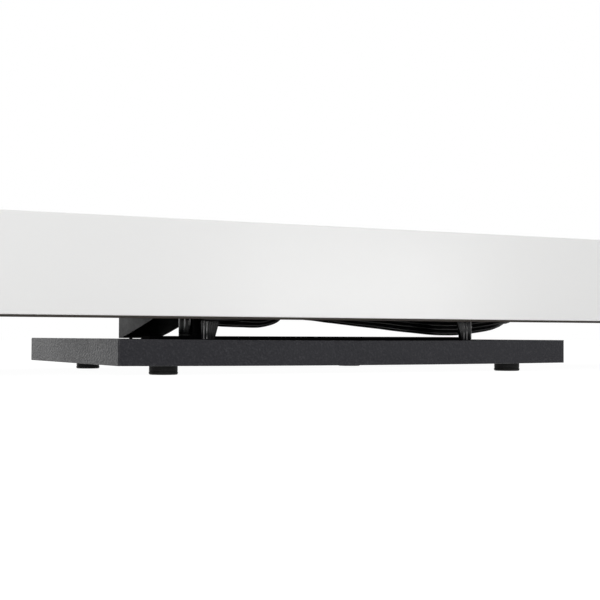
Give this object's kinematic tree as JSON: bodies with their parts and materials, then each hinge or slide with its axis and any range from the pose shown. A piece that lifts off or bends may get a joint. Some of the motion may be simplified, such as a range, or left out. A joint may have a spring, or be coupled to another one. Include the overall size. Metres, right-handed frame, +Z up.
{
  "type": "digital piano on stand",
  "caption": "slim white full-size digital piano, seen from behind, on a low dark plate stand with posts, a support wedge and hanging leads",
  "frame": {"origin": "on the floor under the middle of the object", "axes": "+X along the keyboard towards the treble, +Y from the player to the rear apron, +Z up"},
  "size_m": [1.32, 0.306, 0.1603],
  "materials": {
    "textured_coat": "fine textured dark grey coat over fibreboard",
    "black_sheet": "satin black sheet metal",
    "gloss_black_bar": "gloss black tube",
    "matt_black": "dead matt black steel",
    "black_rubber": "matte black rubber",
    "black_plastic": "fine grained black plastic",
    "zinc_steel": "zinc plated steel",
    "black_steel": "blackened steel",
    "bright_rod": "ground steel rod",
    "white_board": "smooth white foil on board",
    "edge_board": "dark raw board edge",
    "white_case": "smooth white plastic",
    "cleat_wood": "plain softwood",
    "frame_plastic": "grey glass filled plastic",
    "red_felt": "wool felt",
    "circuit_board": "green circuit board",
    "grey_silicone": "grey silicone strip",
    "ivory_plastic": "glossy off-white key",
    "ebony_plastic": "satin black key",
    "paper_cone": "pressed paper cone",
    "magnet_iron": "dark ferrite and steel",
    "grille_cloth": "black slotted grille",
    "lead_jacket": "soft black lead jacket"
  },
  "bodies": {
    "piano_and_stand": {"base_plate": "textured_coat", "rubber_feet": "black_rubber", "foot_screws": "zinc_steel", "bridge_bar": "matt_black", "left_post": "black_sheet", "right_post": "black_sheet", "round_post": "gloss_black_bar", "post_collar": "black_rubber", "support_wedge": "black_plastic", "wedge_pad": "black_rubber", "stand_screws": "black_steel", "post_screws": "black_steel", "rear_apron": "white_board", "apron_edge_strip": "edge_board", "top_case": "white_case", "bottom_pan": "black_sheet", "left_cheek": "white_board", "right_cheek": "white_board", "key_slip": "white_case", "key_blocks": "white_board", "rear_cleat": "cleat_wood", "pan_screws": "zinc_steel", "key_frame": "frame_plastic", "pivot_rod": "bright_rod", "key_springs": "zinc_steel", "stop_felt": "red_felt", "name_felt": "red_felt", "contact_board": "circuit_board", "contact_strip": "grey_silicone", "control_board": "circuit_board", "rest_pins": "zinc_steel", "main_board": "circuit_board", "jack_plate": "black_plastic", "jacks": "black_plastic", "dc_inlet": "black_plastic", "speaker_baskets": "black_plastic", "speaker_cones": "paper_cone", "speaker_magnets": "magnet_iron", "speaker_grilles": "grille_cloth", "left_loom": "lead_jacket", "right_loom": "lead_jacket", "loom_grommets": "black_rubber"},
    "keys_c": {"keys_c": "ivory_plastic"},
    "keys_d": {"keys_d": "ivory_plastic"},
    "keys_e": {"keys_e": "ivory_plastic"},
    "keys_f": {"keys_f": "ivory_plastic"},
    "keys_g": {"keys_g": "ivory_plastic"},
    "keys_a": {"keys_a": "ivory_plastic"},
    "keys_b": {"keys_b": "ivory_plastic"},
    "keys_c_sharp": {"keys_c_sharp": "ebony_plastic"},
    "keys_d_sharp": {"keys_d_sharp": "ebony_plastic"},
    "keys_f_sharp": {"keys_f_sharp": "ebony_plastic"},
    "keys_g_sharp": {"keys_g_sharp": "ebony_plastic"},
    "keys_a_sharp": {"keys_a_sharp": "ebony_plastic"},
    "power_button": {"power_button": "black_plastic"},
    "button_1": {"button_1": "black_plastic"},
    "button_2": {"button_2": "black_plastic"},
    "button_3": {"button_3": "black_plastic"},
    "volume_knob": {"volume_knob": "black_plastic"},
    "music_rest": {"music_rest": "black_plastic"}
  },
  "joints": [
    {"name": "keys_c_hinge", "type": "hinge", "parent": "piano_and_stand", "child": "keys_c", "pos_m": [0, 0.067, 0.124], "axis": [1, 0, 0], "range_deg": [0, 2.6], "stiffness_Nm_per_rad": 8, "springref_deg": -11.46},
    {"name": "keys_d_hinge", "type": "hinge", "parent": "piano_and_stand", "child": "keys_d", "pos_m": [0, 0.067, 0.124], "axis": [1, 0, 0], "range_deg": [0, 2.6], "stiffness_Nm_per_rad": 8, "springref_deg": -11.46},
    {"name": "keys_e_hinge", "type": "hinge", "parent": "piano_and_stand", "child": "keys_e", "pos_m": [0, 0.067, 0.124], "axis": [1, 0, 0], "range_deg": [0, 2.6], "stiffness_Nm_per_rad": 8, "springref_deg": -11.46},
    {"name": "keys_f_hinge", "type": "hinge", "parent": "piano_and_stand", "child": "keys_f", "pos_m": [0, 0.067, 0.124], "axis": [1, 0, 0], "range_deg": [0, 2.6], "stiffness_Nm_per_rad": 8, "springref_deg": -11.46},
    {"name": "keys_g_hinge", "type": "hinge", "parent": "piano_and_stand", "child": "keys_g", "pos_m": [0, 0.067, 0.124], "axis": [1, 0, 0], "range_deg": [0, 2.6], "stiffness_Nm_per_rad": 8, "springref_deg": -11.46},
    {"name": "keys_a_hinge", "type": "hinge", "parent": "piano_and_stand", "child": "keys_a", "pos_m": [0, 0.067, 0.124], "axis": [1, 0, 0], "range_deg": [0, 2.6], "stiffness_Nm_per_rad": 8, "springref_deg": -11.46},
    {"name": "keys_b_hinge", "type": "hinge", "parent": "piano_and_stand", "child": "keys_b", "pos_m": [0, 0.067, 0.124], "axis": [1, 0, 0], "range_deg": [0, 2.6], "stiffness_Nm_per_rad": 8, "springref_deg": -11.46},
    {"name": "keys_c_sharp_hinge", "type": "hinge", "parent": "piano_and_stand", "child": "keys_c_sharp", "pos_m": [0, 0.067, 0.124], "axis": [1, 0, 0], "range_deg": [0, 2.6], "stiffness_Nm_per_rad": 8, "springref_deg": -11.46},
    {"name": "keys_d_sharp_hinge", "type": "hinge", "parent": "piano_and_stand", "child": "keys_d_sharp", "pos_m": [0, 0.067, 0.124], "axis": [1, 0, 0], "range_deg": [0, 2.6], "stiffness_Nm_per_rad": 8, "springref_deg": -11.46},
    {"name": "keys_f_sharp_hinge", "type": "hinge", "parent": "piano_and_stand", "child": "keys_f_sharp", "pos_m": [0, 0.067, 0.124], "axis": [1, 0, 0], "range_deg": [0, 2.6], "stiffness_Nm_per_rad": 8, "springref_deg": -11.46},
    {"name": "keys_g_sharp_hinge", "type": "hinge", "parent": "piano_and_stand", "child": "keys_g_sharp", "pos_m": [0, 0.067, 0.124], "axis": [1, 0, 0], "range_deg": [0, 2.6], "stiffness_Nm_per_rad": 8, "springref_deg": -11.46},
    {"name": "keys_a_sharp_hinge", "type": "hinge", "parent": "piano_and_stand", "child": "keys_a_sharp", "pos_m": [0, 0.067, 0.124], "axis": [1, 0, 0], "range_deg": [0, 2.6], "stiffness_Nm_per_rad": 8, "springref_deg": -11.46},
    {"name": "button_1_press", "type": "slide", "parent": "piano_and_stand", "child": "button_1", "axis": [0, 0, -1], "range_m": [0, 0.001], "stiffness_N_per_m": 800, "springref_m": -0.0006},
    {"name": "button_2_press", "type": "slide", "parent": "piano_and_stand", "child": "button_2", "axis": [0, 0, -1], "range_m": [0, 0.001], "stiffness_N_per_m": 800, "springref_m": -0.0006},
    {"name": "button_3_press", "type": "slide", "parent": "piano_and_stand", "child": "button_3", "axis": [0, 0, -1], "range_m": [0, 0.001], "stiffness_N_per_m": 800, "springref_m": -0.0006},
    {"name": "power_button_press", "type": "slide", "parent": "piano_and_stand", "child": "power_button", "axis": [0, 0, -1], "range_m": [0, 0.001], "stiffness_N_per_m": 800, "springref_m": -0.0006},
    {"name": "volume_turn", "type": "hinge", "parent": "piano_and_stand", "child": "volume_knob", "pos_m": [-0.345, 0.064, 0.15], "axis": [0, 0, 1], "range_deg": [-135, 135]},
    {"name": "music_rest_hinge", "type": "hinge", "parent": "piano_and_stand", "child": "music_rest", "pos_m": [0, 0.024, 0.15], "axis": [1, 0, 0], "range_deg": [0, 72]}
  ]
}
